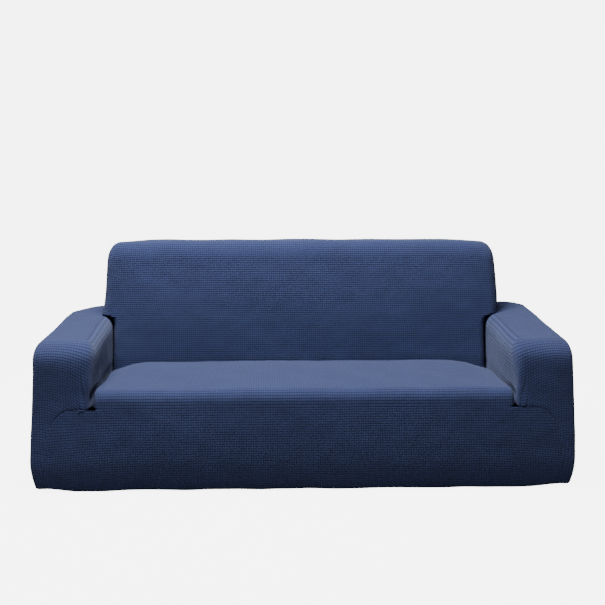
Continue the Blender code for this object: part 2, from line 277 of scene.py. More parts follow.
@dataclass(frozen=True)
class CoverForm:
    """Main places of the cover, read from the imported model, and the shaping all panels share."""

    front: float = CAD_BOX[0][1]
    rear: float = CAD_BOX[1][1]
    back_top: float = CAD_BOX[1][2]
    arm_outer: float = CAD_BOX[1][0]
    arm_inner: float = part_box("arm_right")[0][0]
    arm_top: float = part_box("arm_right")[1][2]
    crease_y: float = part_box("inside_back")[0][1]
    tuck_bottom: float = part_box("inside_back")[0][2]
    back_half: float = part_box("inside_back")[1][0] + 0.003
    back_seam_side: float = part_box("outer_back")[1][0]
    back_seam_top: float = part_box("outer_back")[1][2]
    inner_round: float = 0.034
    outer_round: float = 0.026
    front_round: float = 0.050
    eave_round: float = 0.050
    seat_crown: float = 0.0154
    crevice: float = 0.0065
    hem_roll: float = 0.005
    hem_turn: float = 0.020
    hem_rise: float = 0.110
    hem_draw: float = 0.016
    hem_corner_lift: float = 0.009
    arm_lean: float = 0.008
    front_belly: float = 0.007
    notch_drop: float = 0.004
    left_notch: float = 0.003
    right_notch: float = -0.0026
    right_spread: float = 0.006
    spread_band: Span = (0.3, 0.9)
    undercut: float = 0.010
    undercut_top: Span = (-0.022, 0.010)
    undercut_foot: Span = (0.001, 0.014)
    undercut_start: Span = (0.012, 0.030)
    undercut_fade: Span = (0.06, 0.22)
    undercut_loss: float = 0.75
    inner_skin: float = 0.012
    arm_pad: float = 0.009
    pad_across: Span = (0.02, 0.12)
    pad_along: Span = (0.10, 0.45)
    brow_height: float = 0.085
    brow_setback: float = 0.020
    brow_fade: Span = (0.05, 0.14)
    hem_start_x: float = 0.5
    hem_start_y: float = 0.2
    lean_start_x: float = 0.72
    lean_start_z: float = 0.20
    corner_x: Span = (0.74, 0.87)
    corner_y: Span = (0.20, 0.38)
    belly_half: float = 0.88
    belly_depth: float = 0.06
    slit_depth: Span = (0.008, 0.050)
    slit_foot: Span = (-0.001, 0.006)
    slit_top: Span = (-0.004, 0.02)
    slit_beside: Span = (0.014, 0.050)
    slit_arm_share: float = 0.6
    right_web: float = 0.018
    web_start: float = 0.36
    web_length: float = 0.60
    web_x: Span = (0.70, 0.84)
    web_z: Span = (0.30, 0.48)

    @property
    def seat_top(self) -> float:
        """Height of the seat's front edge."""
        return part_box("seat_and_front")[1][2] - self.seat_crown

    @property
    def seat_half(self) -> float:
        """Half the width of the seat between its crevices."""
        return self.arm_inner - self.crevice

    @property
    def notch_floor(self) -> float:
        """Floor of the slit between seat front and arm front."""
        return self.tuck_bottom - self.notch_drop

    @property
    def eave(self) -> float:
        """Height at which the arms start to round over."""
        return self.arm_top - self.eave_round

    def squared_edge(self, points: Array) -> Array:
        """Makes an arm's upright inner edge crisper towards the notch below it.

        Args:
            points: Points of the right arm's round edge.

        Returns:
            The points, where the round edge is fuller lower down.
        """
        core = np.array([self.arm_inner + self.inner_round, self.front + self.front_round])
        radii = np.array([self.inner_round, self.front_round])
        reach = np.clip((core - points[..., :2]) / radii, 0, 1)
        fullness = 6.0 - 4.0 * ease(points[..., 2], self.notch_floor + 0.02, self.eave - 0.01)
        inside = (reach > 1e-4).all(axis=-1) & (reach < 0.9999).all(axis=-1)
        fuller = core - radii * reach ** (2 / fullness[..., None])
        moved = points.copy()
        moved[..., :2] = np.where(inside[..., None], fuller, points[..., :2])
        return moved

    def arm_front(self, points: Array) -> Array:
        """Rolls the top of the arm front back, and tucks the inner face in by the seat.

        Args:
            points: Points of the right arm.

        Returns:
            The moved points.
        """
        x, y, z = points[..., 0], points[..., 1], points[..., 2]
        back, outward = y - self.front, x - self.arm_inner
        up = np.clip((z - self.arm_top + self.brow_height) / self.brow_height, 0, 1)
        front = 1 - ease(back, *self.brow_fade)
        inner = 1 - ease(outward, 0.0, self.inner_skin)
        pad = (1 - ease(outward, *self.pad_across)) * (1 - ease(back, *self.pad_along))
        full = self.arm_pad * pad * ease(z, self.seat_top + 0.01, self.eave)
        low = 1 - ease(z - self.seat_top, *self.undercut_top)
        low = low * ease(z - self.tuck_bottom, *self.undercut_foot)
        behind = ease(back, *self.undercut_start)
        behind = behind * (1 - self.undercut_loss * ease(back, *self.undercut_fade))
        moved = points.copy()
        moved[..., 0] = x + self.undercut * inner * low * behind - full
        moved[..., 1] = y + self.brow_setback * up**2 * front
        return moved

    def rim_fall(self, past: Array, reach: float) -> Array:
        """How far an arm's round top edge has fallen.

        Args:
            past: Distance past the flat top.
            reach: Width of the round edge.

        Returns:
            The drop below the arm's top.
        """
        return self.eave_round * (1 - np.sqrt(1 - np.clip(past / reach, 0, 1) ** 2))

    def drawn_in(self, points: Array) -> Array:
        """Draws the cover's foot in under the sofa, leans the arms and fills out the front.

        Args:
            points: Points of the plain form.

        Returns:
            The shaped points.
        """
        x, y, z = points[..., 0], points[..., 1], points[..., 2]
        out_x = np.clip((abs(x) - self.hem_start_x) / (self.arm_outer - self.hem_start_x), 0, 1)
        out_y = np.clip((abs(y) - self.hem_start_y) / (self.rear - self.hem_start_y), 0, 1)
        low = np.clip(1 - z / self.hem_rise, 0, None)
        drawn = self.hem_draw * low**2
        lean = self.arm_lean * ease(z, self.lean_start_z, self.arm_top)
        lean = lean * ease(abs(x), self.lean_start_x, self.arm_outer)
        corner = ease(abs(x), *self.corner_x) * ease(abs(y), *self.corner_y)
        tall = np.clip(z / self.seat_top, 0, 1)
        belly = self.front_belly * np.sin(pi * tall)
        belly = belly * (1 - np.clip(abs(x) / self.belly_half, 0, 1) ** 6)
        near_front = 1 - ease(y - self.front, 0.0, self.belly_depth)
        moved = np.empty_like(points)
        moved[..., 0] = x - np.sign(x) * (out_x * drawn + lean - self.slit_opening(x, y, z))
        moved[..., 0] += self.spread(x)
        moved[..., 1] = y - np.sign(y) * out_y * drawn - belly * near_front
        rearward = np.clip((y + self.web_start) / self.web_length, 0, 1)
        web = self.right_web * rearward * ease(x, *self.web_x) * ease(z, *self.web_z)
        moved[..., 2] = z + self.hem_corner_lift * corner * low + web
        return moved

    def spread(self, x: Array) -> Array:
        """How far the cover is wider towards its right end."""
        return self.right_spread * ease(x, *self.spread_band)

    def slit_opening(self, x: Array, y: Array, z: Array) -> Array:
        """How far the sides of the slits beside the seat front stand apart.

        Args:
            x: Places across the plain form.
            y: Places along it.
            z: Heights.

        Returns:
            The move outward, negative on the seat's side.
        """
        slit = (
            (1 - ease(y - self.front, *self.slit_depth))
            * ease(z - self.notch_floor, *self.slit_foot)
            * (1 - ease(z - self.seat_top, *self.slit_top))
        )
        middle = self.arm_inner - self.crevice / 2
        beside = 1 - ease(abs(abs(x) - middle), *self.slit_beside)
        widening = np.where(x < 0, self.left_notch, self.right_notch)
        return np.where(abs(x) < middle, -1.0, self.slit_arm_share) * slit * beside * widening

    def hem(self) -> tuple[Array, Array]:
        """The hem's roll, from the wall's foot to its turned edge.

        Returns:
            How far each row lies inward, and its height.
        """
        turn = np.linspace(0, pi / 2, 6)
        inward = self.hem_roll * (1 - np.cos(turn))
        up = self.hem_roll * (1 - np.sin(turn))
        flat = steps(self.hem_roll, self.hem_turn, 0.004)[1:]
        return np.concatenate([inward, flat]), np.concatenate([up, flat * 0])


FORM = CoverForm()


@dataclass(frozen=True)
class BackrestForm:
    """Rake, taper and crown of the backrest, which its panels share."""

    rake: float = 7.0
    rake_start: float = 0.33
    taper: float = 0.028
    taper_start: float = 0.440
    crown: float = 0.010
    end_droop: float = 0.012
    rear_droop: float = 0.018
    rear_start: float = 0.190
    top_start: float = 0.55
    aside: float = 0.010
    aside_band: Span = (0.42, 0.56)
    low_band: Span = (0.42, 0.50)
    lift: float = 0.005

    def shape(self, points: Array) -> Array:
        """Rakes, tapers and fills out the backrest, and lets its top ends drop a little.

        Args:
            points: Points of the plain form.

        Returns:
            The shaped points.
        """
        f = FORM
        x, y, z = points[..., 0], points[..., 1], points[..., 2]
        high = np.clip((z - self.taper_start) / (f.back_top - self.taper_start), 0, None)
        forward = np.clip((f.rear - y) / (f.rear - f.crease_y), 0, 1)
        lean = tan(radians(self.rake)) * np.clip(z - self.rake_start, 0, None)
        tall = np.clip((z - self.rake_start) / (f.back_top - self.rake_start), 0, 1)
        out = np.clip(abs(x) / f.back_half, 0, 1)
        crown = self.crown * np.sin(pi * tall) * (1 - out**4)
        at_top = ease(z, self.top_start, f.back_top)
        droop = self.end_droop * out**8 + self.rear_droop * ease(y, self.rear_start, f.rear)
        aside = self.aside * ease(z, *self.aside_band)
        aside = aside + f.spread(x) * (1 - ease(z, *self.low_band))
        across = x * (1 - self.taper * high) + aside
        along = y + forward * (lean - crown)
        return joined(across, along, z + (self.lift - droop) * at_top)


BACKREST = BackrestForm()


@dataclass(frozen=True)
class FrontSeam:
    """The seam across an arm front, from the notch out to the lower corner."""

    start_x: float = FORM.arm_inner + FORM.inner_round
    end_x: float = 0.852
    flatness: float = 3.0
    drop: float = 2.5
    top_steps: int = 18
    side_steps: int = 57

    def points(self) -> Array:
        """Evenly spaced places on the seam, one for each column of an arm front.

        Returns:
            Rows of x and z.
        """
        turn = np.linspace(0, pi / 2, 400)
        x = self.start_x + (self.end_x - self.start_x) * np.sin(turn) ** (2 / self.flatness)
        fall = np.clip(np.cos(turn), 0, 1) ** (2 / self.drop)
        z = FORM.hem_roll + (FORM.notch_floor - FORM.hem_roll) * fall
        walked = run_length(joined(x, z))
        even = np.linspace(0, walked[-1], self.top_steps + self.side_steps + 1)
        return joined(np.interp(even, walked, x), np.interp(even, walked, z))


# --------------------------------------------------------------------------- sheets of cloth


@dataclass
class KnitPanel:
    """One cut panel of the cover, as a thin sheet with its grain in metres."""

    name: str
    node: str
    slot: str
    flat: tuple[float, float]
    area: float | None = None
    spacing: float = 0.0075
    thickness: float = 0.0016
    seam_dip: float = 0.0010
    allowance: float = 0.007
    turn_out: float = 0.6
    turn_down: float = 0.8
    unevenness: float = 0.0016
    broad_wave: float = 0.34
    fine_wave: float = 0.11
    fine_share: float = 0.22
    gather: float = 0.0011
    gather_rise: float = 0.028
    gather_pitch: float = 0.031
    gather_wander: float = 0.19
    front_calm: Span = (0.02, 0.05)
    piece: bpy.types.Object | None = field(default=None, init=False)

    def patches(self) -> list[Patch]:
        """The panel's patches, which each kind of panel works out."""
        raise NotImplementedError

    def build(self) -> bpy.types.Object:
        """Sews the patches into one sheet and gives it its thickness.

        Returns:
            The piece.
        """
        verts, faces, grain = [], [], []
        count = 0
        for patch in self.patches():
            rows, cols = patch.points.shape[:2]
            index = count + np.arange(rows * cols).reshape(rows, cols)
            quads = [index[:-1, :-1], index[1:, :-1], index[1:, 1:], index[:-1, 1:]]
            faces.append(np.stack(quads, axis=-1).reshape(-1, 4))
            verts.append(patch.points.reshape(-1, 3))
            grain.append(patch.grain.reshape(-1, 2))
            count += rows * cols
        all_faces = np.concatenate(faces)
        mesh = bpy.data.meshes.new(self.name)
        mesh.from_pydata(np.concatenate(verts).tolist(), [], all_faces.tolist())
        layer = mesh.uv_layers.new(name="grain")
        layer.uv.foreach_set("vector", np.concatenate(grain)[all_faces.ravel()].ravel())
        bm = bmesh.new()
        bm.from_mesh(mesh)
        bmesh.ops.remove_doubles(bm, verts=bm.verts, dist=0.00004)
        loose = [v for v in bm.verts if not v.link_faces]
        bmesh.ops.delete(bm, geom=loose, context="VERTS")
        bmesh.ops.recalc_face_normals(bm, faces=bm.faces)
        if self.guide(bm) < 0:
            bmesh.ops.reverse_faces(bm, faces=bm.faces)
        bm.normal_update()
        places = np.array([v.co for v in bm.verts])
        normals = np.array([v.normal for v in bm.verts])
        dip = self.seam_dip * np.array([v.is_boundary for v in bm.verts])
        moved = places + normals * (self.relief(places) - dip)[:, None]
        for vert, place in zip(bm.verts, moved):
            vert.co = place
        self.turn_in(bm, normals)
        bm.to_mesh(mesh)
        bm.free()
        mesh.shade_smooth()
        piece = bpy.data.objects.new(self.name, mesh)
        bpy.context.scene.collection.objects.link(piece)
        solid = piece.modifiers.new("cloth thickness", "SOLIDIFY")
        solid.thickness = self.thickness
        solid.offset = -1.0
        solid.use_even_offset = False
        self.bake(piece)
        self.piece = piece
        return piece

    def turn_in(self, bm: bmesh.types.BMesh, normals: Array) -> None:
        """Turns a narrow allowance in under the next panel along every edge.

        Args:
            bm: The sewn sheet.
            normals: Its normals before this.
        """
        rim = [e for e in bm.edges if e.is_boundary]
        ways = {}
        for vert, normal in zip(bm.verts, normals):
            if vert.is_boundary:
                middle = sum((f.calc_center_median() for f in vert.link_faces), Vector())
                out = vert.co - middle / len(vert.link_faces)
                out -= Vector(normal) * out.dot(Vector(normal))
                ways[vert] = self.turn_out * out.normalized() - self.turn_down * Vector(normal)
        known = set(bm.verts)
        bmesh.ops.extrude_edge_only(bm, edges=rim)
        for vert in [v for v in bm.verts if v not in known]:
            roots = [e.other_vert(vert) for e in vert.link_edges]
            root = next(r for r in roots if r in known)
            vert.co = root.co + ways[root] * self.allowance

    def guide(self, bm: bmesh.types.BMesh) -> float:
        """Tells which way the sheet faces.

        Args:
            bm: The sewn sheet.

        Returns:
            A positive number if its highest face points up.
        """
        top = max(bm.faces, key=lambda f: f.calc_center_median().z)
        return top.normal.z

    def bake(self, piece: bpy.types.Object) -> None:
        """Applies the piece's modifiers.

        Args:
            piece: The piece, which keeps only its final mesh.
        """
        graph = bpy.context.evaluated_depsgraph_get()
        done = bpy.data.meshes.new_from_object(piece.evaluated_get(graph))
        old = piece.data
        piece.modifiers.clear()
        piece.data = done
        done.name = self.name
        bpy.data.meshes.remove(old)

    def relief(self, places: Array) -> Array:
        """Soft unevenness and hem gathers of the stretched cloth.

        Args:
            places: Points of the sheet.

        Returns:
            How far each stands off the smooth form, along its normal.
        """
        x, y, z = places.T
        broad = waves(x + 0.7 * y, z + 0.5 * y, 11, self.broad_wave) * self.unevenness
        fine = waves(x - y, z + 0.8 * y, 12, self.fine_wave) * self.unevenness * self.fine_share
        at_front = 1 - ease(y - FORM.front, *self.front_calm)
        fading = np.exp(-np.clip(z, 0, None) / self.gather_rise)
        gather = self.gather * (1 - 0.75 * at_front) * fading
        around = x + y
        sway = 2.2 * waves(around, around * 0, 13, self.gather_wander)
        ripples = np.sin(2 * pi * around / self.gather_pitch + sway)
        return broad + fine + gather * ripples * ease(z, 0.0005, 0.006)

    def dress(self, cloth: bpy.types.Material) -> None:
        """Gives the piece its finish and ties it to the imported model.

        Args:
            cloth: The knit.
        """
        self.piece.data.materials.clear()
        self.piece.data.materials.append(cloth)
        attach(self.piece, "root")
        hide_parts(self.node)


@dataclass
class SeatAndFront(KnitPanel):
    """Seat deck, front edge and skirt, with side and rear tucks and the turned hem."""

    side_round: float = 0.014
    front_round: float = 0.030
    rear_round: float = 0.016
    rear_gap: float = 0.004
    front_lift: float = 0.010
    lift_fade: float = 0.55
    side_fall: float = 0.009
    rear_fall: float = 0.020
    tuck_under: float = 0.028
    tuck_side: float = 0.012
    tuck_height: float = 0.007
    tuck_start: Span = (0.03, 0.05)
    tuck_corner: Span = (-0.022, -0.006)
    ledge_depth: float = 0.058
    ledge_slope: float = 0.034
    edge_share: float = 0.05
    edge_steps: int = 3
    fan_start: float = 0.52
    fan_width: float = 0.34
    fan: float = 0.045
    sag: float = 0.020

    def crowned(self, points: Array) -> Array:
        """Fills out the seat, which falls towards its sides and rear corners.

        Args:
            points: Points of the plain seat.

        Returns:
            The crowned points.
        """
        x, y, z = points[..., 0], points[..., 1], points[..., 2]
        along = np.clip((y - FORM.front) / (FORM.crease_y - FORM.front), 0, 1)
        across = np.clip(abs(x) / FORM.seat_half, 0, 1)
        height = np.clip((z - FORM.tuck_bottom) / (FORM.seat_top - FORM.tuck_bottom), 0, 1)
        rise = FORM.seat_crown * np.sin(pi * along**1.12) * (1 - across**5)
        rise = rise + self.front_lift * (1 - ease(along, 0.0, self.lift_fade))
        side_fall = self.side_fall * ease(across, 0.88, 1.0) * ease(along, 0.05, 0.5)
        rear_fall = self.rear_fall * ease(across, 0.80, 1.0) * ease(along, 0.66, 1.0)
        lifted = points.copy()
        lifted[..., 2] = z + height * (rise - side_fall - rear_fall)
        return lifted

    def patches(self) -> list[Patch]:
        """Works out the deck, brow, tucks, skirt and hem.

        Returns:
            The patches, which meet edge to edge.
        """
        f, gap = FORM, self.spacing
        rear_y = f.crease_y - self.rear_gap
        seat = RoundBox(
            (-f.seat_half, f.front, -1.0),
            (f.seat_half, rear_y, f.seat_top),
            (self.side_round, self.front_round, self.front_round),
            (self.side_round, self.rear_round, self.front_round),
        )
        across = Run.over(-f.seat_half, f.seat_half, self.side_round, self.side_round, gap)
        along = Run.over(f.front, rear_y, self.front_round, self.rear_round, gap)
        down = Run.over(f.tuck_bottom, f.seat_top, 0.0, self.front_round, gap * 0.8)
        flat = f.seat_half - self.side_round
        deck = seat.face(2, 1, across.sharp, along.sharp)
        brow = seat.face(1, -1, across.sharp, down.sharp)
        rear = seat.face(1, 1, across.sharp, down.sharp)
        ends = [seat.face(0, side, along.sharp, down.sharp) for side in (-1, 1)]
        closing = 1 - ease(down.sharp - f.tuck_bottom, 0.0, self.tuck_height)
        under_y = f.crease_y + self.tuck_under
        rear[..., 1] += closing * (under_y - rear[..., 1])
        set_back = ease(along.sharp - f.front, *self.tuck_start)[:, None]
        for end, side in zip(ends, (-1, 1)):
            under_x = side * (f.arm_inner + self.tuck_side)
            end[..., 0] += set_back * closing * (under_x - end[..., 0])
            at_corner = ease(end[..., 1] - f.crease_y, *self.tuck_corner) * closing
            end[..., 1] += at_corner * (under_y - end[..., 1])
        rear[0, :, 0] = ends[0][-1, :, 0]
        rear[-1, :, 0] = ends[1][-1, :, 0]

        front_edge, top_edge = along.length[0], down.length[-1]
        deck_v = along.length - front_edge
        brow_v = down.length - top_edge
        side_u = across.length[-1] + top_edge - down.length
        deck_u = across.length[:, None]
        made = [
            Patch(deck, joined(deck_u, deck_v)),
            Patch(brow, joined(deck_u, brow_v)),
            Patch(rear, joined(deck_u, deck_v[-1] - brow_v)),
            Patch(ends[0], joined(-side_u, deck_v[:, None])),
            Patch(ends[1], joined(side_u, deck_v[:, None])),
        ]
        made = [p.shaped(self.crowned) for p in made]

        main = steps(-flat, flat, gap)[:, None]
        levels = np.array([f.notch_floor, f.tuck_bottom])
        strip = self.front_patch(main, levels, brow_v[0])
        seam = FrontSeam().points()
        z_main = np.linspace(f.notch_floor, f.hem_roll, len(seam))
        middle = self.front_patch(main, z_main, brow_v[0])
        share = self.edge_shares(seam[-1, 0] - flat)
        wing_x = flat + (seam[:, :1] - flat) * share
        wing_z = z_main[:, None] + (seam[:, 1:] - z_main[:, None]) * share
        wing = self.front_patch(wing_x, wing_z, brow_v[0])
        ledge_rows = steps(f.front, f.front + self.ledge_depth, 0.003)
        ledge_x, ledge_y = np.meshgrid(wing_x[0], ledge_rows)
        ledge_z = f.notch_floor - self.ledge_slope * ease(ledge_y - f.front, 0, self.ledge_slope)
        ledge_v = brow_v[0] + ledge_y - f.front
        ledge = Patch(joined(ledge_x, ledge_y, ledge_z), joined(ledge_x, ledge_v))
        lower = [strip, middle, wing, wing.mirrored(), ledge, ledge.mirrored()]
        inward, up = f.hem()
        for x in (main, wing_x[-1][:, None], -wing_x[-1][:, None]):
            points = joined(x, f.front + inward, up)
            v = self.skirt_grain(x, f.hem_roll, brow_v[0])[..., 1]
            lower.append(Patch(points, joined(x, v - run_length(points, 1))))
        return [p.shaped(f.drawn_in) for p in made + lower]

    def edge_shares(self, width: float) -> Array:
        """Shares across a wing, closer together towards its seam.

        Args:
            width: The wing's width.

        Returns:
            Shares from 0 to 1.
        """
        wide = steps(0, 1 - self.edge_share, self.spacing / width)
        close = np.linspace(1 - self.edge_share, 1, self.edge_steps + 1)
        return np.concatenate([wide, close[1:]])

    def front_patch(self, x: Array, z: Array, start: float) -> Patch:
        """A patch on the plane of the front.

        Args:
            x: Places across.
            z: Heights.
            start: Grain at the notch's floor.

        Returns:
            The patch.
        """
        return Patch(joined(x, FORM.front, z), self.skirt_grain(x, z, start))

    def skirt_grain(self, x: Array, z: Array | float, start: float) -> Array:
        """Grain of the skirt, whose rows sag and whose columns fan out to the corners.

        Args:
            x: Places across.
            z: Heights.
            start: Grain at the notch's floor.

        Returns:
            The grain.
        """
        low = np.clip((FORM.notch_floor - z) / FORM.notch_floor, 0, 1)
        far = np.clip((abs(x) - self.fan_start) / self.fan_width, 0, None)
        u = x / (1 + self.fan * low * far)
        v = start - (FORM.tuck_bottom - z) + self.sag * far**2 * ease(low, 0.0, 0.5)
        return joined(u, v)


@dataclass
class InsideBack(KnitPanel):
    """Inside back, top and ends of the backrest, tucked in between the arms."""

    side_round: float = 0.034
    edge_round: float = 0.040
    top_round: float = 0.060
    low_round: float = 0.022
    low_gap: float = 0.005
    tuck: float = 0.050
    foot_reach: float = 0.030
    foot_fade: float = 0.10

    def sections(self, base: Array) -> Array:
        """Runs of cloth across the low back, from the tuck up to the hood's foot.

        Args:
            base: Points along the hood's foot, from one rear corner to the other.

        Returns:
            A grid of points, its last column the foot itself.
        """
        f = FORM
        core_x = np.clip(base[:, 0], self.side_round - f.back_half, f.back_half - self.side_round)
        core_y = np.maximum(base[:, 1], f.crease_y + self.edge_round)
        reach_x = (base[:, 0] - core_x) / self.side_round
        reach_y = (base[:, 1] - core_y) / self.edge_round
        deep = (core_y - core_y.min()) / (f.rear - self.edge_round - core_y.min())
        columns = []
        for z in steps(f.tuck_bottom, f.arm_top - 0.003, self.spacing):
            up = np.clip((z - f.eave) / f.eave_round, 0, 1)
            half = f.arm_inner - self.low_gap + f.inner_round * (1 - (1 - up**2) ** 0.5)
            flat = (half - self.low_round) / (f.back_half - self.side_round)
            x = core_x * flat + reach_x * self.low_round
            y = f.crease_y + self.low_round + deep * self.tuck + reach_y * self.low_round
            columns.append(joined(x, y, z))
        columns.append(base)
        return np.stack(columns, axis=1)

    def patches(self) -> list[Patch]:
        """Works out the hood and the low back.

        Returns:
            The patches, which meet edge to edge.
        """
        f, gap = FORM, self.spacing
        hood = RoundBox(
            (-f.back_half, f.crease_y, -1.0),
            (f.back_half, f.rear, f.back_top),
            (self.side_round, self.edge_round, self.top_round),
            (self.side_round, self.edge_round, self.top_round),
        )
        base = f.arm_top
        across = Run.over(-f.back_half, f.back_half, self.side_round, self.side_round, gap)
        across = across.with_cuts(-f.back_seam_side, f.back_seam_side)
        deep = Run.over(f.crease_y, f.rear, self.edge_round, self.edge_round, gap)
        up = Run.over(base, f.back_top, 0.0, self.top_round, gap)
        up = up.with_cuts(f.back_seam_top)
        beside = across.sharp <= -f.back_seam_side + 1e-6
        above = up.sharp >= f.back_seam_top - 1e-6
        below = up.sharp <= f.back_seam_top + 1e-6
        face = hood.face(1, -1, across.sharp, up.sharp)
        ends = [hood.face(0, side, deep.sharp, up.sharp) for side in (-1, 1)]
        top = hood.face(2, 1, across.sharp, deep.sharp)
        rear_top = hood.face(1, 1, across.sharp, up.sharp[above])
        rear_side = hood.face(1, 1, across.sharp[beside], up.sharp[below])
        for grid in (*ends, rear_side):
            past = grid[:, 0, 1] - (f.rear - self.foot_reach)
            fall = f.rim_fall(past, self.foot_reach + 0.0001)
            share = 1 - ease(up.sharp[: grid.shape[1]], base, base + self.foot_fade)
            grid[..., 2] -= fall[:, None] * share
        foot = np.concatenate([ends[0][::-1, 0], face[1:-1, 0], ends[1][:, 0]])
        low = self.sections(foot)

        side_u = across.length[-1] + deep.length - deep.length[0]
        up_v = base + up.length - up.length[0]
        over = up_v[-1] + deep.length - deep.length[0]
        behind = over[-1] + up_v[-1] - up_v
        foot_u = np.concatenate([-side_u[::-1], across.length[1:-1], side_u])
        low_v = low[len(foot) // 2, :, 2]
        face_u = across.length[:, None]
        made = [
            Patch(face, joined(face_u, up_v)),
            Patch(top, joined(face_u, over)),
            Patch(rear_top, joined(face_u, behind[above])),
            Patch(rear_side, joined(face_u[beside], behind[below])),
            Patch(ends[0], joined(-side_u[:, None], up_v)),
            Patch(ends[1], joined(side_u[:, None], up_v)),
            Patch(low, joined(foot_u[:, None], low_v)),
        ]
        made.append(made[3].mirrored())
        return [p.shaped(BACKREST.shape) for p in made]


@dataclass
class OuterBack(KnitPanel):
    """Rear panel, from the top of the backrest down to the hem."""

    def patches(self) -> list[Patch]:
        """Works out the panel and its hem.

        Returns:
            The two patches.
        """
        f, gap = FORM, self.spacing * 1.2
        across = steps(-f.back_seam_side, f.back_seam_side, gap)[:, None]
        up = steps(f.hem_roll, f.back_seam_top, gap)
        wall = Patch(joined(across, f.rear, up), joined(across, up))
        inward, lift = f.hem()
        points = joined(across, f.rear - inward, lift)
        hem = Patch(points, joined(across, f.hem_roll - run_length(points, 1)))
        return [p.shaped(BACKREST.shape).shaped(f.drawn_in) for p in (wall, hem)]

    def guide(self, bm: bmesh.types.BMesh) -> float:
        """Tells whether the sheet faces the rear.

        Args:
            bm: The sewn sheet.

        Returns:
            A positive number if it does.
        """
        return max(bm.faces, key=lambda f: f.calc_center_median().z).normal.y


